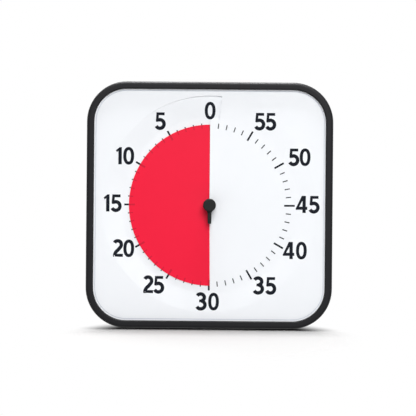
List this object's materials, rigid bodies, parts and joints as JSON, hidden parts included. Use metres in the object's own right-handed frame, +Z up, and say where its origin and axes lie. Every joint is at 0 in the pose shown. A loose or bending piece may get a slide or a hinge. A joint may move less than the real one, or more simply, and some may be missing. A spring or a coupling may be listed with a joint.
{
  "type": "visual countdown timer",
  "caption": "Square free-standing countdown timer with a white dial, a red disk that slides out of a slot as its centre knob turns, a black rounded case and a battery movement.",
  "frame": {"origin": "centre of the base on the surface it stands on, midway between the knob's tip and the back", "axes": "+Z up; the dial faces -Y, so +X is to the right of someone reading it"},
  "size_m": [0.1906, 0.0446, 0.1905],
  "materials": {
    "frame_plastic": "fine-textured black moulding",
    "cover_plastic": "fine-textured black moulding",
    "dial_plastic": "smooth cool white, satin",
    "dial_print": "matte black ink on the dial",
    "disk_film": "smooth red film, slightly translucent",
    "knob_plastic": "matte black moulding",
    "hub_plastic": "natural white",
    "gear_plastic": "natural white",
    "movement_plastic": "black moulding",
    "buzzer_plastic": "black",
    "switch_plastic": "white",
    "steel": "plated",
    "spring_steel": "nickel plated",
    "brass": "bright",
    "copper": "enamelled copper wire",
    "iron": "laminated iron",
    "board": "green solder mask",
    "chip": "black epoxy",
    "battery_sleeve": "plain coloured sleeve"
  },
  "bodies": {
    "housing": {"front_frame": "frame_plastic", "dial_plate": "dial_plastic", "rear_cover": "cover_plastic", "housing_screws": "steel", "stator": "iron", "coil_bobbin": "hub_plastic", "coil_winding": "copper", "movement_case": "movement_plastic", "movement_plate": "movement_plastic", "movement_screws": "steel", "circuit_board": "board", "driver_chip": "chip", "quartz_crystal": "steel", "battery_aa": "battery_sleeve", "contact_positive": "spring_steel", "contact_spring": "spring_steel", "alert_switch_body": "buzzer_plastic", "buzzer_housing": "buzzer_plastic", "piezo_disc": "brass"},
    "knob_and_hub": {"knob": "knob_plastic", "disk_hub": "hub_plastic", "centre_shaft": "steel", "clutch_spring": "spring_steel", "retaining_clip": "spring_steel"},
    "red_disk_body": {"red_disk": "disk_film"},
    "battery_door_body": {"battery_door": "cover_plastic", "battery_door_screw": "steel"},
    "alert_slider_body": {"alert_switch_slider": "switch_plastic"},
    "centre_wheel_body": {"centre_wheel": "brass"},
    "third_wheel_body": {"third_wheel": "gear_plastic"},
    "second_wheel_body": {"second_wheel": "gear_plastic"},
    "rotor_body": {"rotor": "iron"}
  },
  "joints": [
    {"name": "knob_turn", "type": "hinge", "parent": "housing", "child": "knob_and_hub", "pos_m": [0, -0.01225, 0.09525], "axis": [0, -1, 0], "range_deg": [-180.6, 179.4]},
    {"name": "disk_advance", "type": "slide", "parent": "knob_and_hub", "child": "red_disk_body", "axis": [0, -1, 0], "range_m": [-0.0008, 0.0008]},
    {"name": "battery_door_lift", "type": "slide", "parent": "housing", "child": "battery_door_body", "axis": [0, 1, 0], "range_m": [0, 0.03]},
    {"name": "alert_switch_slide", "type": "slide", "parent": "housing", "child": "alert_slider_body", "axis": [1, 0, 0], "range_m": [0, 0.003]},
    {"name": "second_wheel_spin", "type": "hinge", "parent": "housing", "child": "second_wheel_body", "pos_m": [0.00728, 0.00775, 0.10684], "axis": [0, -1, 0], "continuous": true},
    {"name": "rotor_spin", "type": "hinge", "parent": "housing", "child": "rotor_body", "pos_m": [-0.001, 0.00775, 0.1083], "axis": [0, -1, 0], "continuous": true},
    {"name": "third_wheel_spin", "type": "hinge", "parent": "housing", "child": "third_wheel_body", "pos_m": [0.01015, 0.00775, 0.09894], "axis": [0, -1, 0], "continuous": true},
    {"name": "centre_wheel_spin", "type": "hinge", "parent": "housing", "child": "centre_wheel_body", "pos_m": [0, 0.00775, 0.09525], "axis": [0, -1, 0], "continuous": true}
  ],
  "couplings": [
    {"joint": "disk_advance", "follows": "knob_turn", "m_per_rad": 0.00023873},
    {"joint": "rotor_spin", "follows": "second_wheel_spin", "ratio": -6},
    {"joint": "third_wheel_spin", "follows": "second_wheel_spin", "ratio": -0.16667},
    {"joint": "centre_wheel_spin", "follows": "second_wheel_spin", "ratio": 0.033333}
  ]
}
